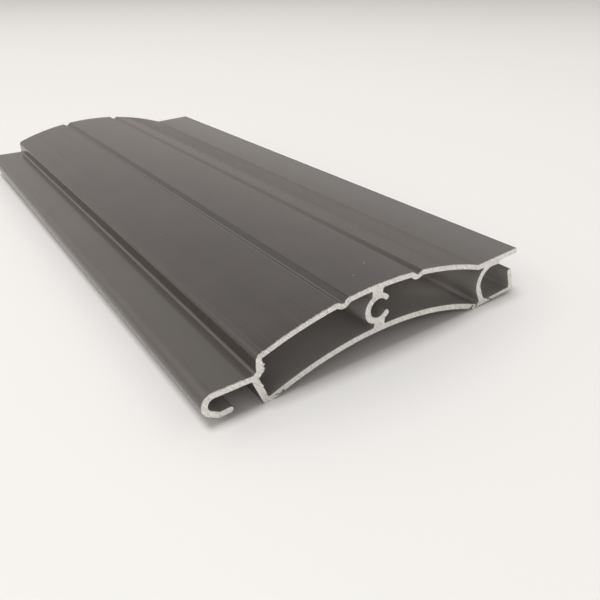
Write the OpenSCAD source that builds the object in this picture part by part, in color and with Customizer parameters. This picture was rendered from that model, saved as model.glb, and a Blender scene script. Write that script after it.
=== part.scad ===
// Roller shutter slat: one hollow aluminium extrusion, cut to length.
// The section is drawn with X across the slat and Y up from the floor. X = 0 is the heel,
// where the hook side wall meets the floor. The slat lies with its convex face up.

/* [Slat] */
// Length of the cut slat
slat_length = 180; // [60:1:6000]
// Spacing from one slat to the next in a curtain that hangs
cover_width = 77.4; // [70:0.1:90]
// Height of the face above the floor at the middle of the body
slat_height = 16.7; // [16:0.1:18.5]

/* [Skins] */
// Thickness of the convex face skin
face_t = 1.2; // [0.8:0.05:1.6]
// Thickness of the back skin
back_t = 1.35; // [0.9:0.05:1.7]
// Clear height between the skins at the crown
chamber_height = 8.8; // [8.2:0.05:9.4]

/* [Face creases] */
// Distance between the two creases
crease_spacing = 19.7; // [16:0.1:28]
// Offset of the creases from the middle of the body, towards the hook
crease_offset = 0.35; // [-1:0.05:2]
// Width of a crease at the face
crease_width = 2.7; // [2.2:0.1:3.4]
// Depth of a crease
crease_depth = 0.7; // [0.4:0.05:0.9]
// Width of the flat at the bottom of a crease
crease_floor = 0.5; // [0.3:0.05:1]

/* [Hook side] */
// Lean of the hook side wall and of the pocket lip, in degrees from upright
wall_lean = 21.5; // [18:0.5:25]
// Thickness of the hook side wall
wall_t = 1.45; // [1.1:0.05:1.8]
// Width of the heel's flat foot
heel_w = 2.2; // [1.8:0.1:3]
// How far the face overhangs the heel
face_overhang = 1.36; // [1.1:0.02:1.6]
// Height of the step from the hook flange to the edge of the face
step_height = 3.75; // [3.2:0.05:4.4]
// Thickness of the step at its top
step_t = 1.25; // [1:0.05:1.5]
// Thickness of the step at its haunch
haunch_t = 1.65; // [1.5:0.05:2.2]
// Height of the haunch's lower end above the top of the hook flange
haunch_low = 0.4; // [0.2:0.05:0.6]
// Height of the haunch's upper end above the top of the hook flange
haunch_high = 1.3; // [1:0.05:1.6]
// Height of the top of the hook flange above the floor
hook_top = 7.25; // [6.9:0.05:7.6]
// How far the hook reaches out from the heel
hook_reach = 12.4; // [11.5:0.1:14]
// Thickness of the hook
hook_t = 1.28; // [0.9:0.02:1.4]
// Outer radius of the hook's curl
hook_radius = 2.65; // [2.4:0.05:2.9]
// Angle that the curl turns through, in degrees
hook_turn = 148; // [145:1:160]
// Straight run from the curl to the hook's lip
hook_run = 2; // [1.6:0.1:2.6]
// Length of the hook's lip
hook_lip = 2.8; // [2:0.1:3.2]
// Rise of the hook's lip towards its tip, in degrees
hook_lip_rise = 3.5; // [0:0.5:8]

/* [Pocket side] */
// Clear width of the pocket at the centre of its round back
pocket_width = 9.95; // [9.4:0.05:10.6]
// Inner radius of the pocket's round back
pocket_radius = 3.55; // [3.3:0.05:3.7]
// Height of the centre of the pocket's round back above the floor
pocket_height = 6.6; // [6.3:0.05:6.9]
// Thickness of the pocket's round back
pocket_t = 1.45; // [1.1:0.05:1.6]
// Angle on the round back where its straight leg starts, in degrees
pocket_leg_angle = 208; // [204:1:214]
// Thickness of the pocket's floor
floor_t = 1; // [0.9:0.05:1.4]
// Rise of the pocket's floor towards its lip, in degrees
floor_rise = 4; // [2:0.5:5]
// Height of the pocket's lip above the floor
lip_top = 7.25; // [6.8:0.05:7.5]
// Thickness of the pocket's lip
lip_t = 1.35; // [1:0.05:1.6]
// Length of the cover flange from the valley to its tip
flange_length = 13.8; // [12:0.1:15]
// Thickness of the cover flange
flange_t = 1.4; // [1.2:0.05:1.7]
// Rise of the cover flange towards its tip, in degrees
flange_rise = 3; // [1:0.5:5]
// Distance from the pocket's round back to the valley in front of it
valley_gap = 0.5; // [0.3:0.05:1.2]
// Height of the cover flange's underside above the top of the pocket's round back
brow_height = 0.6; // [0.5:0.05:1]
// Length of the brow under the cover flange
brow_length = 1.7; // [1:0.1:2.5]

/* [Screw port] */
// Bore of the screw port
port_bore = 4.3; // [3.8:0.1:4.6]
// Thickness of the port's wall behind the bore
port_t = 1.4; // [1.1:0.05:1.6]
// Thickness of the port's two arms
arm_t = 1.1; // [0.9:0.05:1.2]
// Opening between the arms, in degrees
port_opening = 80; // [60:1:84]
// Turn of the opening up from level, in degrees
port_turn = 4; // [-5:1:10]
// Offset of the port from the middle of the body, towards the hook
port_offset = 0.85; // [0:0.05:2]
// Width of the stems that carry the port
stem_w = 2.8; // [2.2:0.1:3.2]
// Sideways offset of each stem from the port's centre
stem_offset = 0.55; // [0:0.05:0.7]

/* [Rounds] */
// Radius in the hollow corners
fillet_r = 0.45; // [0.3:0.05:0.6]
// Radius in the hollow corner at the foot of the step
step_fillet_r = 0.75; // [0.5:0.05:1]
// Radius in the pocket's lower corner
pocket_fillet_r = 3.3; // [1:0.1:3.6]
// Radius of the face's edge over the hook
edge_r = 0.7; // [0.4:0.05:1]
// Radius of the heel and of the cover flange's tip
tip_r = 0.4; // [0.2:0.05:0.5]

/* [Hidden] */
$fn = 96;
skin_fn = 360;

// Allowances by which a cut or a filler runs past the edge that it has to cross: usual, short and long.
over = 1;
over_short = 0.25;
over_long = 3;
// Depth by which a corner filler is rooted in the walls beside it.
root = 0.3;
// Angle at which a round crosses the edges that it joins, so that no two outlines only graze.
cross_angle = 16;
// Turn by which a round wall bends away beside a hollow corner.
wall_ease = 6;
// Round ends are a touch fuller than their strip.
cap_share = 1.01;
// A straight leg sits inside the tangent of its curl by this share of the curl's radius.
lap_share = 0.012;
lap_turn = acos(1 - lap_share);
lap_back = sqrt(2 * lap_share);

function unit(angle) = [cos(angle), sin(angle)];
function side(p, q) = let (d = (q - p) / norm(q - p)) [-d[1], d[0]];
function bearing(p, q) = atan2(q[1] - p[1], q[0] - p[0]);
function mean(p, q) = (p + q) / 2;
// Where the line through p along angle a meets the line through q along angle b
function crossing(p, a, q, b) = p + unit(a) * cross(q - p, unit(b)) / sin(b - a);
// Centre of the circle through three points
function centre_of(p, q, r) = crossing(mean(p, q), bearing(p, q) + 90, mean(q, r), bearing(q, r) + 90);
// Where the line through p along angle a enters (s = -1) or leaves (s = 1) a circle
function meet(p, a, centre, radius, s) = let (f = p - centre, d = unit(a), k = f * d)
    p + d * (s * sqrt(k * k - f * f + radius * radius) - k);
// Angles from one to the other, in equal turns of no more than the widest
function turns(from, to, widest = 60) = let (n = ceil((to - from) / widest))
    [for (i = [0:n]) from + (to - from) * i / n];
// Height of a circle's upper side at x
function top_y(centre, radius, x) = centre[1] + sqrt(pow(radius, 2) - pow(x - centre[0], 2));

// Hook: the curl's centre, the end of the curl, the bend to the lip and the lip's tip.
hook_mid_r = hook_radius - hook_t / 2;
hook_mid_y = hook_top - hook_t / 2;
hook_centre = [-hook_reach + hook_radius, hook_top - hook_radius + hook_mid_r * lap_share];
hook_end_angle = 90 + hook_turn;
hook_end = hook_centre + hook_mid_r * (1 - lap_share) * unit(hook_end_angle);
hook_bend = hook_end + hook_run * unit(hook_end_angle + 90);
hook_tip = hook_bend + hook_lip * unit(hook_lip_rise);

// Heel wall and step: outer and inner faces, the notch and the haunch between them.
heel_across = wall_t / cos(wall_lean);
function heel_outer_x(y) = -y * tan(wall_lean);
notch = [heel_across + heel_outer_x(hook_top - hook_t), hook_top - hook_t];
face_edge = [-face_overhang, hook_top + step_height];

// Pocket lip: it stops the hook's tip, which sits higher by the lip's reach over the hook flange.
hook_lift = max(0, lip_top - (hook_top - hook_t));
lip_contact = [hook_tip[0] + cover_width, hook_tip[1] + hook_lift];
lip_across = lip_t / cos(wall_lean);
function lip_face_x(y) = lip_contact[0] - (y - lip_contact[1]) * tan(wall_lean);

// Pocket's round back, its leg, and the foot where the back skin meets the floor.
pocket_centre = [lip_face_x(pocket_height) - pocket_width + pocket_radius, pocket_height];
pocket_mid_r = pocket_radius + pocket_t / 2;
pocket_outer_r = pocket_radius + pocket_t;
leg_bearing = pocket_leg_angle + 90;
leg_top = pocket_centre + pocket_mid_r * (1 - lap_share) * unit(pocket_leg_angle);
back_from = 100;
back_turn = 30;
foot = [pocket_centre[0] - pocket_outer_r, 0];
floor_up = floor_t / cos(floor_rise) * [0, 1];
leg_foot = crossing(leg_top, leg_bearing, foot + floor_up / 2, floor_rise);
lip_foot = [lip_face_x(0) + lip_across / 2, 0];
lip_corner_up = lip_t / 2 / cos(floor_rise) * [0, 1];
lip_corner = crossing(foot + lip_corner_up, floor_rise, lip_foot, 90 + wall_lean);

// Cover flange and the valley where it meets the face.
valley_x = foot[0] - valley_gap;
flange_root_angle = 120;
flange_down = flange_t * unit(flange_rise - 90);
flange_root_y = pocket_height + pocket_radius + brow_height + flange_t / cos(flange_rise);
valley = [valley_x, flange_root_y - (pocket_centre[0] - valley_x) * tan(flange_rise)];
flange_tip = valley + flange_length * unit(flange_rise);

// Face skin: a circle through the edge over the hook, the crown and the valley.
body_mid = (valley_x - face_overhang) / 2;
face_centre = centre_of(face_edge, [body_mid, slat_height], valley);
face_r = norm(valley - face_centre);
face_inner_r = face_r - face_t;

// Back skin: an arch that stands on the heel and on the pocket's foot.
arch_half = (foot[0] - heel_w) / 2;
arch_rise = slat_height - face_t - chamber_height - back_t;
arch_r = (pow(arch_half, 2) + pow(arch_rise, 2)) / (2 * arch_rise);
back_r = arch_r + back_t;
back_centre = [heel_w + arch_half, arch_rise - arch_r];

// Screw port, midway between the skins.
port_r = port_bore / 2;
port_outer_r = port_r + (port_t + arm_t) / 2;
port_x = body_mid - port_offset;
port_top = top_y(face_centre, face_r - face_t / 2, port_x);
port_foot = top_y(back_centre, back_r - back_t / 2, port_x);
port_centre = [port_x, (port_top + port_foot) / 2];
port_outer_centre = port_centre - (port_t - arm_t) / 2 * unit(port_turn);

// Reach of the section, which centres it on the origin.
section_left = -hook_reach;
section_right = lip_corner[0] + lip_t * cap_share / 2;
section_mid = (section_left + section_right) / 2;

// Straight strip of thickness t, centred on the line from p to q
module strip(p, q, t) {
    n = side(p, q) * t / 2;
    polygon([p - n, q - n, q + n, p + n]);
}

// Disc that rounds the end or the bend of a strip of thickness t
module knuckle(p, t) {
    translate(p) circle(d = t * cap_share);
}

// Curved strip about the origin between two radii, from one angle to the other
module bow(inner, outer, from, to) {
    intersection() {
        difference() {
            circle(outer);
            circle(inner);
        }
        polygon([[0, 0], for (a = turns(from, to)) 2 * outer * unit(a)]);
    }
}

// Disc that carries one side of a curved skin
module skin_disc(centre, radius) {
    translate(centre) circle(radius, $fn = skin_fn);
}

// What lies between a corner at p, open from angle a round to angle b, and a round of radius r.
// Added, it fills a hollow corner. Taken away, it rounds a proud one.
module corner_piece(p, a, b, r) {
    half = (b - a) / 2;
    inset = r * cos(cross_angle);
    along = inset / tan(half);
    centre = p + inset / sin(half) * unit(a + half);
    difference() {
        polygon([
            p - root / sin(half) * unit(a + half),
            p + along * unit(a) + root * unit(a - 90),
            centre,
            p + along * unit(b) + root * unit(b + 90)
        ]);
        translate(centre) circle(r);
    }
}

// Crease outline: narrow at the bottom, wide at the top, carried on above by a margin
module crease(width, floor_width, above) {
    top = width / 2 + above * (width - floor_width) / 2 / crease_depth;
    polygon([
        [-top, above],
        [-floor_width / 2, -crease_depth],
        [floor_width / 2, -crease_depth],
        [top, above]
    ]);
}

// Places a shape at both creases, square to the face and sunk by a depth
module at_creases(sink) {
    for (s = [-1, 1]) {
        x = body_mid - crease_offset + s * crease_spacing / 2;
        p = [x, top_y(face_centre, face_r, x)];
        translate(p) rotate(bearing(face_centre, p) - 90) translate([0, -sink]) children();
    }
}

// Filled outline of the body and the pocket's floor, before the hollows are taken out
module body_outline() {
    floor_from = foot - over * unit(floor_rise);
    floor_to = lip_corner - lip_corner_up;
    difference() {
        union() {
            intersection() {
                skin_disc(face_centre, face_r);
                polygon([
                    foot - [over_long, 0],
                    [0, 0],
                    [heel_outer_x(hook_mid_y), hook_mid_y],
                    [-face_overhang, hook_mid_y],
                    [-face_overhang, slat_height + over],
                    [pocket_centre[0], slat_height + over],
                    for (a = turns(back_from, pocket_leg_angle, back_turn))
                        pocket_centre + pocket_mid_r * unit(a),
                    leg_foot
                ]);
            }
            polygon([floor_from, floor_to, floor_to + floor_up, floor_from + floor_up]);
        }
        skin_disc(back_centre, arch_r);
    }
}

// Point on the left side of the pocket's leg, and where that side meets the floor
leg_left = leg_top + pocket_t / 2 * unit(pocket_leg_angle);
leg_left_foot = crossing(leg_left, leg_bearing, foot + floor_up, floor_rise);

// Hollow of the body: between the skins, the haunched hook side and the pocket's back
module chamber() {
    crease_angle = atan(crease_depth / ((crease_width - crease_floor) / 2));
    crease_spread = 2 * face_t * tan(crease_angle / 2);
    leg_end = leg_left_foot + over * unit(leg_bearing);
    floor_from = foot + floor_up - over_long * unit(floor_rise);
    floor_to = leg_left_foot + over_long * unit(floor_rise);
    difference() {
        union() {
            intersection() {
                skin_disc(face_centre, face_inner_r);
                polygon([
                    [heel_across, 0],
                    notch,
                    [haunch_t - face_overhang, hook_top + haunch_low],
                    [haunch_t - face_overhang, hook_top + haunch_high],
                    [step_t - face_overhang, face_edge[1] - face_t],
                    [step_t - face_overhang, slat_height + over],
                    [pocket_centre[0], slat_height + over],
                    pocket_centre,
                    leg_left,
                    leg_end,
                    [leg_end[0], 0]
                ]);
            }
            polygon([
                valley + flange_down,
                valley + flange_down + (pocket_centre[0] - valley_x) * unit(flange_rise),
                pocket_centre,
                [valley_x, pocket_height]
            ]);
        }
        skin_disc(back_centre, back_r);
        translate(pocket_centre) circle(pocket_outer_r);
        at_creases(face_t) crease(crease_width + crease_spread, crease_floor + crease_spread, face_t / 4);
        polygon([floor_from - [0, 2 * over], floor_to - [0, 2 * over], floor_to, floor_from]);
    }
}

// Hook: flange, curl and the lip that turns back under the flange
module hook() {
    lap = lap_back * hook_mid_r;
    lip_end = hook_tip - hook_t / 2 * unit(hook_lip_rise);
    strip([hook_centre[0] - lap, hook_mid_y], [over_short - face_overhang, hook_mid_y], hook_t);
    translate(hook_centre)
        bow(hook_radius - hook_t, hook_radius, 90 - lap_turn, hook_end_angle + lap_turn);
    strip(hook_end - lap * unit(hook_end_angle + 90), hook_bend, hook_t);
    knuckle(hook_bend, hook_t);
    strip(hook_bend, lip_end, hook_t);
    knuckle(lip_end, hook_t);
}

// Pocket: round back with a straight leg, leaning lip, and the cover flange with its brow
module pocket() {
    lap = lap_back * pocket_mid_r;
    lip_end = crossing([0, lip_top - lip_t / 2], 0, lip_corner, 90 + wall_lean);
    brow_y = pocket_height + pocket_radius - lap_share * pocket_mid_r;
    flange_mid_y = flange_root_y - flange_t / 2;
    translate(pocket_centre)
        bow(pocket_radius, pocket_outer_r, 90 - lap_turn, pocket_leg_angle + lap_turn);
    strip(leg_top - lap * unit(leg_bearing), leg_foot, pocket_t);
    strip(lip_corner, lip_end, lip_t);
    knuckle(lip_corner, lip_t);
    knuckle(lip_end, lip_t);
    polygon([
        pocket_centre + pocket_mid_r * unit(flange_root_angle),
        valley + flange_down + (pocket_centre[0] - valley_x) * unit(flange_rise),
        flange_tip + flange_down,
        flange_tip,
        valley - over * unit(flange_rise)
    ]);
    polygon([
        [pocket_centre[0] - lap, brow_y],
        [pocket_centre[0] + brow_length, brow_y],
        [pocket_centre[0] + brow_length + flange_mid_y - brow_y, flange_mid_y],
        [pocket_centre[0] - lap, flange_mid_y]
    ]);
}

// Left or right side of a stem: the upper stem is up = 1, the lower one is up = -1
function stem_x(up, right) = port_centre[0] - up * stem_offset + right * stem_w / 2;

// Screw port: open ring on two stems between the skins
module screw_port() {
    arm_angles = [port_turn - port_opening / 2, port_turn + port_opening / 2];
    mouth = 2 * port_outer_r;
    difference() {
        translate(port_outer_centre) circle(port_outer_r);
        translate(port_centre) circle(port_r);
        translate(port_centre) polygon([[0, 0], mouth * unit(arm_angles[0]), mouth * unit(arm_angles[1])]);
    }
    for (a = arm_angles) {
        inner = port_centre + port_r * unit(a);
        outer = meet(port_centre, a, port_outer_centre, port_outer_r, 1);
        knuckle(mean(inner, outer), norm(outer - inner));
    }
    difference() {
        union() {
            strip([stem_x(1, 0), port_centre[1]], [stem_x(1, 0), port_top], stem_w);
            strip([stem_x(-1, 0), port_foot], [stem_x(-1, 0), port_centre[1]], stem_w);
        }
        translate(port_centre) circle(port_r + arm_t / 2);
    }
}

// Hollow corners where the stems meet the skins and the port
module stem_corners() {
    for (right = [-1, 1]) {
        high = meet([stem_x(1, right), port_centre[1]], 90, face_centre, face_inner_r, 1);
        high_skin = bearing(face_centre, high) - right * 90;
        corner_piece(high, right > 0 ? -90 : high_skin, right > 0 ? high_skin : 270, fillet_r);
        low = meet([stem_x(-1, right), port_centre[1]], 90, back_centre, back_r, 1);
        low_skin = bearing(back_centre, low) - right * 90;
        corner_piece(low, right > 0 ? low_skin : 90, right > 0 ? 90 : low_skin, fillet_r);
        upper = meet([stem_x(1, right), port_centre[1]], 90, port_outer_centre, port_outer_r, 1);
        upper_wall = bearing(port_outer_centre, upper) - right * (90 + wall_ease);
        corner_piece(upper, right > 0 ? upper_wall : 90, right > 0 ? 90 : upper_wall, fillet_r);
        lower = meet([stem_x(-1, right), port_centre[1]], -90, port_outer_centre, port_outer_r, 1);
        lower_wall = bearing(port_outer_centre, lower) + right * (90 + wall_ease);
        corner_piece(lower, right > 0 ? -90 : lower_wall, right > 0 ? lower_wall : -90, fillet_r);
    }
}

// Hollow corners of the chamber's ends, the hook and the pocket
module wall_corners() {
    heel_corner = meet([heel_across, 0], 90 + wall_lean, back_centre, back_r, 1);
    corner_piece(heel_corner, bearing(back_centre, heel_corner) - 90, 90 + wall_lean, fillet_r);
    web_corner = meet(valley + flange_down, flange_rise, pocket_centre, pocket_outer_r, -1);
    web_bearing = bearing(pocket_centre, web_corner) + 90 + wall_ease;
    corner_piece(web_corner, 180 + flange_rise, web_bearing, fillet_r / 2);
    corner_piece(leg_left_foot, leg_bearing - 180, 180 + floor_rise, fillet_r);
    corner_piece([heel_outer_x(hook_top - hook_t), hook_top - hook_t], 180, 270 + wall_lean, fillet_r);
    corner_piece([-face_overhang, hook_top], 90, 180, step_fillet_r);
    leg_right = leg_top - pocket_t / 2 * unit(pocket_leg_angle);
    pocket_corner = crossing(leg_right, leg_bearing, foot + floor_up, floor_rise);
    corner_piece(pocket_corner, floor_rise, leg_bearing - 180, pocket_fillet_r);
    lip_inner_corner = crossing(lip_contact, 90 + wall_lean, foot + floor_up, floor_rise);
    corner_piece(lip_inner_corner, 90 + wall_lean, 180 + floor_rise, fillet_r);
}

// Proud corners of the face's edge, the heel and the cover flange's tip
module proud_corners() {
    corner_piece(face_edge, -90, bearing(face_centre, face_edge) - 90, edge_r);
    corner_piece([0, 0], 0, 90 + wall_lean, tip_r);
    corner_piece(flange_tip, 180 + flange_rise, 270 + flange_rise, tip_r);
    corner_piece(flange_tip + flange_down, 90 + flange_rise, 180 + flange_rise, tip_r);
}

// Whole section of the extrusion
module section() {
    difference() {
        union() {
            difference() {
                union() {
                    body_outline();
                    hook();
                    pocket();
                }
                chamber();
                at_creases(0) crease(crease_width, crease_floor, over_short);
            }
            screw_port();
            stem_corners();
            wall_corners();
        }
        proud_corners();
    }
}

module slat() {
    color("dimgray")
        rotate([90, 0, 0])
            linear_extrude(height = slat_length, center = true)
                translate([-section_mid, 0])
                    section();
}

slat();
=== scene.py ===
# %% [markdown]
# # A roller shutter slat
# The object is one length of hollow aluminium section: a dark satin face with two creases, a curled
# hook along one edge, and a cover flange over a round pocket along the other, cut off with a saw.
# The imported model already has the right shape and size, so it is loaded first and never moved.
# Everything after this is made in metres, in the same frame.

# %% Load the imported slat
import math

import bmesh
import bpy
from mathutils import Matrix, Vector, noise


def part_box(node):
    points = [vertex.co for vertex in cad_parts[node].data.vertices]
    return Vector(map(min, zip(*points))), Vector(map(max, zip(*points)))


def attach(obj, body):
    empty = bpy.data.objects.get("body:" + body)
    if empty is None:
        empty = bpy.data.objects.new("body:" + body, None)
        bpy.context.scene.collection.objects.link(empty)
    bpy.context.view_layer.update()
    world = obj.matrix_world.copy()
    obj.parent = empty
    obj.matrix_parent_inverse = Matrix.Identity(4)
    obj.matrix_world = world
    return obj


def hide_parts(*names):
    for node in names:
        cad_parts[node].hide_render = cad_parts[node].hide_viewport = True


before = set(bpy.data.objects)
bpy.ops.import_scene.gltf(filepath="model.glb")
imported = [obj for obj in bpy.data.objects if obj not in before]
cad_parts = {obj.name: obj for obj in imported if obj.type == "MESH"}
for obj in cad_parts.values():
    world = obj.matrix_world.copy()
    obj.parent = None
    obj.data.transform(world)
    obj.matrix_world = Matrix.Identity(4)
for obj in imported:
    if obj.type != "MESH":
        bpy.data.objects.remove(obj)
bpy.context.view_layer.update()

MM = 0.001
slat_low, slat_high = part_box("slat")
slat_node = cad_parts["slat"]
slat_size = (slat_high - slat_low) / MM
print("packed slat, mm:", [round(side, 2) for side in slat_size])

# %% [markdown]
# ## The camera
# A picture of a product is easiest to compare when the camera stands where the photographer stood.
# The long straight edges of the slat run to one vanishing point, which gives the heading and the dip,
# and the known width of the section gives the distance. A camera can be turned by Euler angles, but
# three plain rotations in a row are easier to read: tilt, then dip, then heading.

# %% Camera at the photograph's place
CAMERA_PLACE = Vector((-71.36, -158.18, 67.63)) * MM
CAMERA_HEADING = 35.714
CAMERA_DIP = 29.897
CAMERA_TILT = 0.183
CAMERA_LENS = 33.37
NEAREST_SEEN = 0.01
UPRIGHT = 90

camera_data = bpy.data.cameras.new("photo_camera")
camera_data.lens = CAMERA_LENS
camera_data.clip_start = NEAREST_SEEN
camera = bpy.data.objects.new("photo_camera", camera_data)
bpy.context.scene.collection.objects.link(camera)
heading = Matrix.Rotation(math.radians(-CAMERA_HEADING), 4, "Z")
dip = Matrix.Rotation(math.radians(UPRIGHT - CAMERA_DIP), 4, "X")
tilt = Matrix.Rotation(math.radians(CAMERA_TILT), 4, "Z")
camera.matrix_world = Matrix.Translation(CAMERA_PLACE) @ heading @ dip @ tilt
bpy.context.scene.camera = camera
print("camera lens, mm:", round(camera_data.lens, 2))

# %% [markdown]
# ## The outline of the section
# An extrusion is the same outline all along its length, so the outline is all that is needed from the
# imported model. It could be drawn again by hand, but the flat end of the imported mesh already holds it:
# a merged copy keeps only the end's triangles, and the edges that border just one of them are the outline.

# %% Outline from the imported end
SAME_PLACE = 1e-6

section = bmesh.new()
outward = section.verts.layers.float_vector.new("outward")
inner = section.verts.layers.float.new("inner")
section.from_mesh(slat_node.data)
bmesh.ops.remove_doubles(section, verts=section.verts, dist=SAME_PLACE)
beyond_end = [f for f in section.faces if any(v.co.y > slat_low.y + SAME_PLACE for v in f.verts)]
bmesh.ops.delete(section, geom=beyond_end, context="FACES")
across_end = [e for e in section.edges if not e.is_boundary]
bmesh.ops.delete(section, geom=across_end, context="EDGES")


def closed_loops(mesh):
    """Each closed loop of a wire outline, as its vertices in order."""
    waiting = {v: None for v in mesh.verts}
    loops = []
    while waiting:
        start = next(iter(waiting))
        loop = [start]
        step = start.link_edges[0].other_vert(start)
        while step != start:
            back = loop[-1]
            loop.append(step)
            step = next(e.other_vert(step) for e in step.link_edges if e.other_vert(step) != back)
        for vertex in loop:
            del waiting[vertex]
        loops.append(loop)
    return loops


def loop_area(loop):
    """Signed area of a loop, positive where it runs counterclockwise seen from the cut end."""
    pairs = zip(loop, loop[1:] + loop[:1])
    return sum(a.co.x * b.co.z - b.co.x * a.co.z for a, b in pairs) / 2


def metal_on_the_left(loops):
    """The loops with the outer one first, each turned so that the metal lies to its left."""
    ordered = sorted(loops, key=lambda loop: -abs(loop_area(loop)))
    turned = []
    for place, loop in enumerate(ordered):
        runs_left = loop_area(loop) > 0
        is_outer = place == 0
        turned.append(loop if runs_left == is_outer else loop[::-1])
    return turned


packed_loops = metal_on_the_left(closed_loops(section))
print("outline loops:", [len(loop) for loop in packed_loops], "points")

# %% [markdown]
# ## Round curves again
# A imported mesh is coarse: a small fillet comes as two or three straight facets, which shows in a close
# view. A Subdivision Surface would round the sharp corners as well. So each facet is judged alone: where
# it is short for the turn at its ends it stands for an arc, is cut into short steps, and its new points
# are pushed out onto that arc. A long straight wall fails the test and stays straight.

# %% Refine the outline
ARC_SAG = 0.05 * MM
OUTLINE_STEP = 0.15 * MM
TURN_STEP = math.radians(8)
LEAST_TURN = math.radians(0.05)


def turn_at(before, here, after):
    """Signed turn of the outline at a point, to the left where it is positive."""
    a = here - before
    b = after - here
    return math.atan2(a.x * b.z - a.z * b.x, a.x * b.x + a.z * b.z)


def arc_turn(length, first, second):
    """Turn of the arc that a facet stands for, or 0 where the facet is a straight wall."""
    fits = []
    for turn in (first, second):
        sag = length / 2 * math.tan(abs(turn) / 4)
        if abs(turn) > LEAST_TURN and sag < ARC_SAG:
            fits.append(turn)
    if not fits or min(fits) < 0 < max(fits):
        return 0
    return max(fits, key=abs)


def refine(mesh, loop):
    """Cuts a loop's facets into short steps that lie on their arcs."""
    points = [v.co.copy() for v in loop]
    count = len(points)
    turns = [turn_at(points[i - 1], points[i], points[(i + 1) % count]) for i in range(count)]
    for i in range(count):
        follow = (i + 1) % count
        chord = points[follow] - points[i]
        length = chord.length
        along = chord / length
        to_right = Vector((along.z, 0, -along.x))
        turn = arc_turn(length, turns[i], turns[follow])
        pieces = max(math.ceil(length / OUTLINE_STEP), math.ceil(abs(turn) / TURN_STEP))
        if pieces < 2:
            continue
        radius = length / 2 / math.sin(abs(turn) / 2) if turn else 0
        last = loop[follow]
        for left in range(pieces - 1, 0, -1):
            edge = mesh.edges.get((loop[i], last))
            last = bmesh.utils.edge_split(edge, loop[i], left / (left + 1))[1]
            if turn:
                reach = length * (left / pieces - 0.5)
                bulge = math.sqrt(radius ** 2 - reach ** 2) - radius * math.cos(turn / 2)
                last.co = points[i] + along * (reach + length / 2) + to_right * math.copysign(bulge, turn)
            else:
                last.co = points[i] + chord * (left / pieces)


for packed_loop in packed_loops:
    refine(section, packed_loop)
fine_loops = metal_on_the_left(closed_loops(section))
print("refined outline:", [len(loop) for loop in fine_loops], "points")

# %% [markdown]
# ## Ease the step
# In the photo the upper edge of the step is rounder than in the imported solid, and the eye sees it at once,
# because it shines along the whole slat. A bevel would do it on a mesh with faces; on an outline it is
# enough to draw each point of the corner in to a circle that touches both of its sides.

# %% Round the step's upper edge
EDGE_MIDDLE = Vector((-30.34, slat_low.y / MM, 10.03)) * MM
EDGE_RADIUS = 1.40 * MM
EDGE_SPAN = 1.5

eased = 0
for vertex in fine_loops[0]:
    arm = vertex.co - EDGE_MIDDLE
    in_corner = arm.x < 0 < arm.z
    if in_corner and EDGE_RADIUS < arm.length < EDGE_SPAN * EDGE_RADIUS:
        vertex.co = EDGE_MIDDLE + arm.normalized() * EDGE_RADIUS
        eased += 1
print("corner points eased:", eased)

# %% [markdown]
# ## Which way is out, and what is inside
# Burrs and the broken edge are small pushes of the outline, out of the metal or into it. Each outline
# point therefore remembers its outward direction. It also remembers whether it lies inside, where hardly
# any paint came: the two closed chambers, and the walls of the pocket and the hook, which face a hollow.
# Vertex layers hold both, because an extrusion copies the layers of the points that it starts from.

# %% Remember the outward direction and the inside
# The pocket and the hook: middle x, middle z, reach and top, in mm.
HOLLOWS = [
    (35.3, 5.6, 7.0, 10.3),
    (-38.8, 4.3, 4.2, 7.0),
]


def faces_hollow(vertex):
    """Whether an outline point is on a wall of the pocket or the hook, below the hollow's top."""
    for middle_x, middle_z, reach, top in HOLLOWS:
        across = Vector((middle_x * MM - vertex.co.x, 0, middle_z * MM - vertex.co.z))
        near = across.length < reach * MM and vertex.co.z < top * MM
        if near and across.dot(vertex[outward]) > 0:
            return True
    return False


for place, fine_loop in enumerate(fine_loops):
    count = len(fine_loop)
    is_chamber = place > 0
    for i, vertex in enumerate(fine_loop):
        run = fine_loop[(i + 1) % count].co - fine_loop[i - 1].co
        vertex[outward] = Vector((run.z, 0, -run.x)).normalized()
        vertex[inner] = 1.0 if is_chamber or faces_hollow(vertex) else 0.0
print("points with a direction:", len(section.verts))

# %% [markdown]
# ## Draw the section through the length
# The press pushes the metal through a die, and the script does the same: it extrudes the outline's edges
# along the slat, ring after ring. The first and last rings stand close to the cuts, so that the
# marks of the saw stay within half a millimetre of the ends and the long walls stay clean.

# %% Extrude the walls
EDGE_BREAK = 0.07 * MM
SAW_REACH = 0.5 * MM


def pull(mesh, edges, run):
    """Draws outline edges along the slat and gives the new outline's edges and the walls made."""
    made = bmesh.ops.extrude_edge_only(mesh, edges=edges)["geom"]
    fresh = [g for g in made if isinstance(g, bmesh.types.BMVert)]
    bmesh.ops.translate(mesh, verts=fresh, vec=(0, run, 0))
    ring = set(fresh)
    front = [g for g in made if isinstance(g, bmesh.types.BMEdge) and all(v in ring for v in g.verts)]
    walls = [g for g in made if isinstance(g, bmesh.types.BMFace)]
    return front, walls


slat_run = slat_high.y - slat_low.y
plain_run = slat_run - 2 * SAW_REACH
stations = [EDGE_BREAK, SAW_REACH - EDGE_BREAK, plain_run, SAW_REACH - EDGE_BREAK, EDGE_BREAK]
rings = [section.edges[:]]
wall_bands = []
for run in stations:
    front, walls = pull(section, rings[-1], run)
    rings.append(front)
    wall_bands.append(walls)
print("walls:", sum(len(walls) for walls in wall_bands), "faces")
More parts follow.
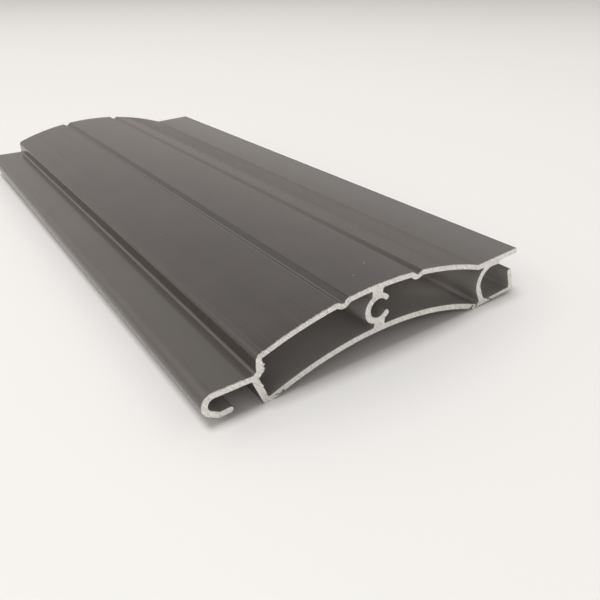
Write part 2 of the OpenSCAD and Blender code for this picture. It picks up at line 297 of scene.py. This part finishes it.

# %% [markdown]
# ## What the saw left
# The cut is not clean. Soft aluminium smears over an inner edge as small teeth, and a thin wall tears.
# The teeth and tears of the photographed end are listed, each as a place on the section, a reach
# and a push; a fine noise makes the whole rim a little uneven. The far end has only the noise.

# %% Saw marks on both ends
RIM_UNEVEN = 0.03
RIM_GRAIN = 0.45
NEAR_SEED = 0
FAR_SEED = 40
# Each mark: its x and z on the section, its reach, and its push in x and z, in mm.
SAW_MARKS = [
    (-30.18, 8.84, 0.28, 0.34, 0.06),
    (-30.08, 8.47, 0.20, -0.20, 0.00),
    (-30.06, 7.88, 0.24, 0.26, 0.00),
    (-30.16, 7.60, 0.16, -0.14, 0.00),
    (-30.32, 7.27, 0.25, 0.34, 0.00),
    (-31.17, 5.97, 0.30, -0.12, 0.00),
    (-30.48, 4.21, 0.30, 0.26, 0.06),
    (-30.35, 3.87, 0.20, -0.15, 0.00),
    (-29.50, 1.75, 0.38, -0.24, -0.03),
    (-26.25, 0.72, 0.34, 0.06, 0.50),
    (-26.80, 0.53, 0.28, -0.04, -0.16),
    (27.60, 0.17, 0.36, 0.10, 0.85),
    (29.45, 1.06, 0.34, -0.10, -0.55),
    (-0.62, 8.70, 0.80, 0.24, -0.20),
    (-0.25, 9.20, 0.50, 0.16, -0.06),
    (-4.95, 11.10, 0.25, 0.10, 0.00),
    (-4.95, 10.30, 0.25, 0.08, 0.00),
]


def mark_push(x, z):
    """Push of the set saw marks at a place on the section, in mm."""
    push = Vector((0, 0, 0))
    for mark_x, mark_z, reach, push_x, push_z in SAW_MARKS:
        share = 1 - math.hypot(x - mark_x, z - mark_z) / reach
        if share > 0:
            push += Vector((push_x, 0, push_z)) * share
    return push


def rim_verts(edges):
    """The vertices of a ring, once each and in a fixed order."""
    return list({v: None for e in edges for v in e.verts})


def roughen(edges, seed, marked, inset):
    """Pushes a ring's points by the rim's noise and the marks, and draws it in by the inset."""
    for vertex in rim_verts(edges):
        x = vertex.co.x / MM
        z = vertex.co.z / MM
        uneven = RIM_UNEVEN * noise.noise(Vector((x / RIM_GRAIN, seed, z / RIM_GRAIN)))
        push = Vector(vertex[outward]) * uneven
        if marked:
            push += mark_push(x, z)
        vertex.co += push * MM - Vector(vertex[outward]) * inset


roughen(rings[1], NEAR_SEED, True, 0)
roughen(rings[0], NEAR_SEED, True, EDGE_BREAK)
roughen(rings[-2], FAR_SEED, False, 0)
roughen(rings[-1], FAR_SEED, False, EDGE_BREAK)
for vertex in section.verts:
    for axis in range(3):
        vertex.co[axis] = min(max(vertex.co[axis], slat_low[axis]), slat_high[axis])
print("saw marks set:", len(SAW_MARKS))

# %% [markdown]
# ## Close the ends and set the shading
# Triangle Fill closes a ring that has islands in it, as this one has. The walls are shaded smooth and only
# corners sharper than a set angle stay hard, so the face is one clean curve and each crease stays crisp.
# The cut faces take the second material slot, the bare metal, and the walls that face a hollow take the
# third. The broken edge is bare inside; outside it stays dark, as the cut edge of the paint film.

# %% Close, shade and make the piece
HARD_CORNER = math.radians(24)
COATED = 0
SAWN = 1
INSIDE = 2

near_cut = bmesh.ops.triangle_fill(section, edges=rings[0], use_beauty=True, normal=(0, -1, 0))
far_cut = bmesh.ops.triangle_fill(section, edges=rings[-1], use_beauty=True, normal=(0, 1, 0))
cut_faces = [g for made in (near_cut, far_cut) for g in made["geom"] if isinstance(g, bmesh.types.BMFace)]
for face in section.faces:
    face.material_index = COATED
    face.smooth = True
    if all(v[inner] > 0.5 for v in face.verts):
        face.material_index = INSIDE
bare_edges = [f for f in wall_bands[0] + wall_bands[-1] if f.material_index == INSIDE]
for face in cut_faces + bare_edges:
    face.material_index = SAWN
bmesh.ops.recalc_face_normals(section, faces=section.faces)
open_edges = [e for e in section.edges if len(e.link_faces) != 2]
print("faces:", len(section.faces), "open edges:", len(open_edges), "volume, mm3:",
      round(section.calc_volume() / MM ** 3, 1))

slat_mesh = bpy.data.meshes.new("slat_body")
section.to_mesh(slat_mesh)
section.free()
slat_mesh.set_sharp_from_angle(angle=HARD_CORNER)
slat_body = bpy.data.objects.new("slat_body", slat_mesh)
bpy.context.scene.collection.objects.link(slat_body)

# %% [markdown]
# ## Shader maths
# A finish is a small formula: grain plus streaks, less near the edge, and so on. Wiring it by hand in
# Python is long, so one class wraps a node's output and lets plain Python expressions add the Math nodes.
# Any other node comes from its one method, which sets the settings before the sockets.

# %% A socket in Python expressions
class Wire:
    """One output socket of a shader node, used in Python expressions."""

    def __init__(self, tree, socket):
        self.tree = tree
        self.socket = socket

    def node(self, kind, settings=None, sockets=None, out=0):
        """Adds a node: its type, its settings, then the values or wires of its sockets."""
        made = self.tree.nodes.new("ShaderNode" + kind)
        for name, value in (settings or {}).items():
            setattr(made, name, value)
        for name, value in (sockets or {}).items():
            if isinstance(value, Wire):
                self.tree.links.new(value.socket, made.inputs[name])
            else:
                made.inputs[name].default_value = value
        return Wire(self.tree, made.outputs[out])

    def also(self, name):
        """Another output of the same node."""
        return Wire(self.tree, self.socket.node.outputs[name])

    def maths(self, operation, first, second=0.0):
        """A Math node on two values or wires."""
        return self.node("Math", {"operation": operation}, {0: first, 1: second})

    def __add__(self, other):
        return self.maths("ADD", self, other)

    __radd__ = __add__

    def __sub__(self, other):
        return self.maths("SUBTRACT", self, other)

    def __rsub__(self, other):
        return self.maths("SUBTRACT", other, self)

    def __mul__(self, other):
        return self.maths("MULTIPLY", self, other)

    __rmul__ = __mul__

    def between(self, start, end):
        """0 below start, 1 above end, and smooth between them."""
        span = {"Value": self, "From Min": start, "From Max": end}
        return self.node("MapRange", {"interpolation_type": "SMOOTHSTEP"}, span)

    def within(self, low, high, fade):
        """1 from low to high, 0 outside, and smooth over the fade at each."""
        return self.between(low - fade, low + fade) * (1 - self.between(high - fade, high + fade))

    def noise_at(self, scale, detail=2.0, stretch=(1, 1, 1)):
        """Noise at this place, with the place stretched first."""
        place = self.node("VectorMath", {"operation": "MULTIPLY"}, {0: self, 1: stretch})
        return self.node("TexNoise", None, {"Vector": place, "Scale": scale, "Detail": detail})

    def blend(self, first, second):
        """A colour mixed from two colours, with this value as the share of the second."""
        colours = {0: self, 6: first, 7: second}
        return self.node("Mix", {"data_type": "RGBA"}, colours, out=2)


def start_finish(name):
    """A new material, its shader node, and a wire with the place on the piece in mm."""
    material = bpy.data.materials.new(name)
    material.use_nodes = True
    tree = material.node_tree
    shader = tree.nodes["Principled BSDF"]
    place = Wire(tree, tree.nodes.new("ShaderNodeTexCoord").outputs["Object"])
    in_mm = place.node("VectorMath", {"operation": "SCALE"}, {0: place, "Scale": 1 / MM})
    return material, shader, in_mm


def feed(shader, sockets):
    """Links wires to a shader's sockets and sets its plain values."""
    for name, value in sockets.items():
        if isinstance(value, Wire):
            value.tree.links.new(value.socket, shader.inputs[name])
        else:
            shader.inputs[name].default_value = value


print("finishes start from:", Wire.__name__)

# %% [markdown]
# ## The coating
# The slat is coated in a dark grey-brown, satin rather than glossy. Two things make it look real.
# Seen steeply it is dark, and seen flat, toward the far end, it mirrors the pale room, which the shader's
# own Fresnel gives when the roughness is right. The rest is small: a fine grain, faint lines along the
# pull of the die, soft clouds, a few pale dust specks, and bare metal where the saw chipped the rim.
# The flanges and the strip by the pocket are tinted paler than the face, and the cover flange paler still:
# painted reflection of a pale room, which this simple world doesn't have. Some slopes of the creases carry
# painted light, and one carries painted shade. The tints are fitted to the photo and laid by masks along x,
# which no noise could place.

# %% Paint colours, painted reflection, light and shade, and where they lie
COAT_COLOUR = (0.042, 0.0355, 0.0315, 1)
COAT_PALE = (0.049, 0.0415, 0.037, 1)
# Painted reflection: the flanges and the strip by the pocket are paler than the face, and the cover flange
# paler still.
FLANGE_PAINTED_SHEEN = (0.066, 0.058, 0.051, 1)
FLANGE_PAINTED_SHEEN_PALE = (0.072, 0.064, 0.057, 1)
COVER_PAINTED_SHEEN = (0.086, 0.081, 0.076, 1)
# Painted light and painted shade on the slopes of the creases: some slopes paler than the face, one darker.
SLOPE_PAINTED_LIGHT = (0.085, 0.076, 0.069, 1)
SLOPE_PAINTED_SHADE = (0.027, 0.0225, 0.020, 1)
HOOK_FLANGE_END = (-32.0, -31.6)
PAINTED_SHEEN_STRIP = (13.0, 28.2)
DULL_STRIP = (11.5, 16.0)
GROOVE = (27.4, 28.2)
COVER_FLANGE = (27.6, 38.0)
# Each slope with painted light: its left and right end, in mm, and the share of the painted light colour.
PAINTED_LIGHT_SLOPES = [(-13.75, -12.05, 0.95), (7.35, 7.90, 0.85), (7.90, 8.75, 0.55)]
PAINTED_SHADE_SLOPE = (-12.0, -10.9)
SLOPE_FADE = 0.12
UPPER_SKIN = (12.0, 13.0)
ALONG_PULL = (1, 0.012, 1)
CLOUD_SHARE = 0.6
STREAK_SHARE = 0.08
GRAIN_SHARE = 0.32
TONE_SPAN = (0.35, 0.65)

coating, shader, place = start_finish("satin_coating")
axes = place.node("SeparateXYZ", None, {0: place})
clouds = place.noise_at(scale=0.07, detail=3.0)
streaks = place.noise_at(scale=0.9, detail=3.0, stretch=ALONG_PULL)
grain = place.noise_at(scale=3.2, detail=2.0)
mottle = clouds * CLOUD_SHARE + streaks * STREAK_SHARE + grain * GRAIN_SHARE
tone = mottle.between(*TONE_SPAN)

# Masks of the painted reflection on the flanges and the strip, and of the painted light and shade on the
# crease slopes.
on_hook = 1 - axes.between(*HOOK_FLANGE_END)
sheen_mask = on_hook + axes.between(*PAINTED_SHEEN_STRIP)
cover_sheen_mask = axes.between(*COVER_FLANGE)
on_top = axes.also("Z").between(*UPPER_SKIN)
painted_shade_mask = on_top * axes.within(*PAINTED_SHADE_SLOPE, SLOPE_FADE)
painted_light_masks = [axes.within(low, high, SLOPE_FADE) * share for low, high, share in PAINTED_LIGHT_SLOPES]
painted_light_mask = on_top * sum(painted_light_masks)

# The paint's random tone, with the painted reflection and the painted light and shade of the slopes laid
# over it.
darker_with_sheen = sheen_mask.blend(COAT_COLOUR, FLANGE_PAINTED_SHEEN)
paler_with_sheen = sheen_mask.blend(COAT_PALE, FLANGE_PAINTED_SHEEN_PALE)
tone_and_sheen = cover_sheen_mask.blend(tone.blend(darker_with_sheen, paler_with_sheen), COVER_PAINTED_SHEEN)
paint_and_painted_light = painted_shade_mask.blend(painted_light_mask.blend(tone_and_sheen, SLOPE_PAINTED_LIGHT), SLOPE_PAINTED_SHADE)
print("paint nodes:", len(coating.node_tree.nodes))

# %% Dust, chips and gloss
DUST_COLOUR = (0.20, 0.19, 0.18, 1)
BARE_COLOUR = (0.66, 0.64, 0.61, 1)
DUST_CELLS = 0.28
DUST_DOT = (0.02, 0.04)
DUST_LUCK = (0.95, 0.96)
# Two single specks: x, y and z in mm.
SPECKS = [(0.20, -81.4, 16.7), (-5.05, -84.2, 16.6)]
SPECK_RIM = (0.10, 0.24)
CHIP_REACH = 0.5
CHIP_RIM = (-0.16, -0.06)
SATIN = 0.18
GRAIN_ROUGHNESS = 0.04
DULL_ROUGHNESS = 0.15
PAINT_RELIEF = {"Strength": 0.10, "Distance": 0.02 * MM}

cells = place.node("TexVoronoi", None, {"Vector": place, "Scale": DUST_CELLS})
lottery = cells.node("SeparateColor", None, {0: cells.also("Color")})
dust = (1 - cells.between(*DUST_DOT)) * lottery.between(*DUST_LUCK)
for speck in SPECKS:
    away = place.node("VectorMath", {"operation": "DISTANCE"}, {0: place, 1: speck}, out="Value")
    dust = dust.maths("MAXIMUM", dust, 1 - away.between(*SPECK_RIM))

from_end = slat_run / MM / 2 - axes.also("Y").maths("ABSOLUTE", axes.also("Y"))
chip_noise = place.noise_at(scale=1.7, detail=4.0)
chips = 1 - (from_end - chip_noise * CHIP_REACH).between(*CHIP_RIM)
dull = axes.between(*DULL_STRIP) * (1 - axes.between(*GROOVE))
feed(shader, {
    "Base Color": chips.blend(dust.blend(paint_and_painted_light, DUST_COLOUR), BARE_COLOUR),
    "Roughness": SATIN + grain * GRAIN_ROUGHNESS + dull * DULL_ROUGHNESS,
    "Metallic": chips,
    "Normal": place.node("Bump", None, {**PAINT_RELIEF, "Height": grain}),
})
print("coating nodes:", len(coating.node_tree.nodes))

# %% [markdown]
# ## The sawn ends
# The saw bared the aluminium, which is pale and dull, with fine slanting scratches from the teeth of the
# blade. A brushed look often comes from an anisotropic shader, but that socket is lost in an export, so
# the scratches are noise stretched along the blade's path, in the colour, the roughness and the bump.

# %% Saw-cut aluminium
BLADE_SLANT = math.radians(38)
CUT_LIGHT = (0.92, 0.90, 0.87, 1)
CUT_DARK = (0.60, 0.58, 0.55, 1)
SCRATCH_SHARE = 0.55
SPECKLE_SHARE = 0.45
CUT_SPAN = (0.36, 0.58)
CUT_ROUGHNESS = 0.55
POLISH = 0.12
SCRATCH_STRETCH = (5.0, 1.0, 0.35)
CUT_RELIEF = {"Strength": 0.35, "Distance": 0.03 * MM}
# Dark lines on the cut face, at its tears and across the pocket's floor.
DARK_LINE_COLOUR = (0.06, 0.056, 0.052, 1)
DARK_LINE_CORE = 0.6
DARK_LINE_RIM = 1.6
# Each dark line on the cut face, at the tears and across the pocket's floor: the x and z where it starts,
# the x and z where it ends, and half its width, in mm.
DARK_LINES = [
    (33.2, 1.40, 35.7, 0.10, 0.12),
    (-26.6, 0.62, -26.1, 1.10, 0.20),
    (-27.9, 0.95, -26.9, 0.75, 0.08),
    (27.0, 0.25, 27.9, 1.15, 0.20),
    (29.2, 0.55, 29.65, 1.30, 0.20),
]


def near_line(place, start, end, half):
    """1 on the straight line from start to end, 0 beyond about half a width from it."""
    run = Vector(end) - Vector(start)
    arm = place.node("VectorMath", {"operation": "SUBTRACT"}, {0: place, 1: start})
    ahead = arm.node("VectorMath", {"operation": "DOT_PRODUCT"}, {0: arm, 1: run}, out="Value")
    held = {"operation": "MULTIPLY", "use_clamp": True}
    share = ahead.node("Math", held, {0: ahead, 1: 1 / run.length_squared})
    foot = share.node("VectorMath", {"operation": "SCALE"}, {0: run, "Scale": share})
    off = foot.node("VectorMath", {"operation": "DISTANCE"}, {0: arm, 1: foot}, out="Value")
    return 1 - off.between(half * DARK_LINE_CORE, half * DARK_LINE_RIM)


sawn, shader, place = start_finish("sawn_aluminium")
turned = place.node("VectorRotate", {"rotation_type": "Y_AXIS"}, {"Vector": place, "Angle": BLADE_SLANT})
scratches = turned.noise_at(scale=1.0, detail=3.0, stretch=SCRATCH_STRETCH)
speckle = place.noise_at(scale=3.5, detail=2.0)
wear = (scratches * SCRATCH_SHARE + speckle * SPECKLE_SHARE).between(*CUT_SPAN)
near_y = slat_low.y / MM
marks = []
for start_x, start_z, end_x, end_z, half in DARK_LINES:
    marks.append(near_line(place, (start_x, near_y, start_z), (end_x, near_y, end_z), half))
dark_lines = marks[0]
for mark in marks[1:]:
    dark_lines = dark_lines.maths("MAXIMUM", dark_lines, mark)
feed(shader, {
    "Base Color": dark_lines.blend(wear.blend(CUT_DARK, CUT_LIGHT), DARK_LINE_COLOUR),
    "Metallic": 1.0,
    "Roughness": CUT_ROUGHNESS - wear * POLISH,
    "Normal": place.node("Bump", None, {**CUT_RELIEF, "Height": scratches - dark_lines}),
})
print("sawn nodes:", len(sawn.node_tree.nodes))

# %% [markdown]
# ## Inside the hollows
# No paint comes into the two chambers, and hardly any into the pocket and the hook, so their walls are the
# skin that the press leaves: dull, with faint die lines along the pull. The photo shows them dark at the
# mouth and paler deeper in, most of all on the pocket's side. It can't tell whether that is dirt or light.
# One plain grey left the depths too dark, so the grey here gets paler with the distance from the cut and
# toward the pocket: painted light where little light reaches.

# %% Press skin
MOUTH_COLOUR = (0.275, 0.262, 0.252, 1)
# Painted light: deeper in, and toward the pocket's side, the skin is tinted paler.
DEEP_PAINTED_LIGHT = (0.74, 0.715, 0.685, 1)
MOUTH_RUN = 13.0
POCKET_SIDE = (6.0, 20.0)
HOOK_SIDE_SHARE = 0.5
EVEN_SHARE = 0.85
PATCHY_SHARE = 0.15
SKIN_ROUGHNESS = 0.55
LINE_ROUGHNESS = 0.1
DIE_LINES = (1, 0.008, 1)
SKIN_RELIEF = {"Strength": 0.15, "Distance": 0.02 * MM}

skin, shader, place = start_finish("press_skin")
axes = place.node("SeparateXYZ", None, {0: place})
lines = place.noise_at(scale=1.6, detail=4.0, stretch=DIE_LINES)
blotches = place.noise_at(scale=0.25, detail=2.0)
depth = slat_run / MM / 2 - axes.also("Y").maths("ABSOLUTE", axes.also("Y"))
side = HOOK_SIDE_SHARE + axes.between(*POCKET_SIDE) * (1 - HOOK_SIDE_SHARE)
patches = EVEN_SHARE + lines * PATCHY_SHARE + blotches * PATCHY_SHARE
# Share of the painted light, with the skin's own die lines and blotches in it.
painted_light_and_patches = side * depth.between(0, MOUTH_RUN) * patches
feed(shader, {
    "Base Color": painted_light_and_patches.blend(MOUTH_COLOUR, DEEP_PAINTED_LIGHT),
    "Roughness": SKIN_ROUGHNESS + lines * LINE_ROUGHNESS,
    "Normal": place.node("Bump", None, {**SKIN_RELIEF, "Height": lines}),
})
print("press skin nodes:", len(skin.node_tree.nodes))

# %% [markdown]
# ## Hand the piece to the frame
# The finished piece stands for the imported solid in every picture, rides on the only body there is,
# and takes its three finishes in its material slots.

# %% The slat in the frame
slat_mesh.materials.append(coating)
slat_mesh.materials.append(sawn)
slat_mesh.materials.append(skin)
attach(slat_body, "root")
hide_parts("slat")
print("piece:", slat_body.name, len(slat_mesh.polygons), "faces")

# %% [markdown]
# ## Floor and light
# The slat lies on a white satin table in a bright room. A disc is enough for the table, and its colour
# alone makes the background pale. A single grey world would light the slat as well, but the satin paint
# mirrors the room. So the world is warm and dim at the horizon and brighter higher up, brighter on the
# hook's side, dimmer in front, and dark straight overhead, where the lamp takes over: one large soft lamp,
# a little to the hook's side, that throws the shadow under the slat.

# %% Floor
FLOOR_RADIUS = 4.0
FLOOR_SIDES = 96
FLOOR_COLOUR = (0.835, 0.828, 0.812, 1)
FLOOR_ROUGHNESS = 0.5

floor_shape = bmesh.new()
bmesh.ops.create_circle(floor_shape, cap_ends=True, segments=FLOOR_SIDES, radius=FLOOR_RADIUS)
bmesh.ops.translate(floor_shape, verts=floor_shape.verts, vec=(0, 0, slat_low.z))
floor_mesh = bpy.data.meshes.new("table")
floor_shape.to_mesh(floor_mesh)
floor_shape.free()
floor = bpy.data.objects.new("table", floor_mesh)
bpy.context.scene.collection.objects.link(floor)
table_top, shader, place = start_finish("table_top")
feed(shader, {"Base Color": FLOOR_COLOUR, "Roughness": FLOOR_ROUGHNESS})
floor_mesh.materials.append(table_top)
print("floor radius, m:", FLOOR_RADIUS)

# %% World
HORIZON_COLOUR = (0.47, 0.405, 0.36, 1)
OVERHEAD_COLOUR = (1.35, 1.33, 1.32, 1)
CEILING_COLOUR = (0.12, 0.12, 0.12, 1)
CEILING_EDGE = (0.65, 0.85)
LEFT_EDGE = (-0.70, 0.05)
LEFT_GAIN = 0.8
FRONT_EDGE = (-0.6, 0.1)
FRONT_LOSS = 0.4

world = bpy.data.worlds.new("studio")
world.use_nodes = True
tree = world.node_tree
direction = Wire(tree, tree.nodes.new("ShaderNodeTexCoord").outputs["Generated"])
sides = direction.node("SeparateXYZ", None, {0: direction})
up = sides.also("Z")
walls = up.blend(HORIZON_COLOUR, OVERHEAD_COLOUR)
room = up.between(*CEILING_EDGE).blend(walls, CEILING_COLOUR)
left = 1 - sides.between(*LEFT_EDGE)
front = 1 - sides.also("Y").between(*FRONT_EDGE)
strength = (1 + left * LEFT_GAIN) * (1 - front * FRONT_LOSS)
feed(tree.nodes["Background"], {"Color": room, "Strength": strength})
bpy.context.scene.world = world
print("world nodes:", len(tree.nodes))

# %% Lamp
LAMP_POWER = 21.0
LAMP_SIZE = 0.7
LAMP_PLACE = Vector((-0.45, 0.12, 1.95))
LAMP_AIM = Vector((0, 0, 0))

lamp_data = bpy.data.lights.new("soft_lamp", "AREA")
lamp_data.size = LAMP_SIZE
lamp_data.energy = LAMP_POWER
lamp = bpy.data.objects.new("soft_lamp", lamp_data)
lamp.location = LAMP_PLACE
lamp.rotation_euler = (LAMP_AIM - LAMP_PLACE).to_track_quat("-Z", "Y").to_euler()
bpy.context.scene.collection.objects.link(lamp)
bpy.context.scene.view_settings.view_transform = "Standard"
print("lamp power, W:", LAMP_POWER)
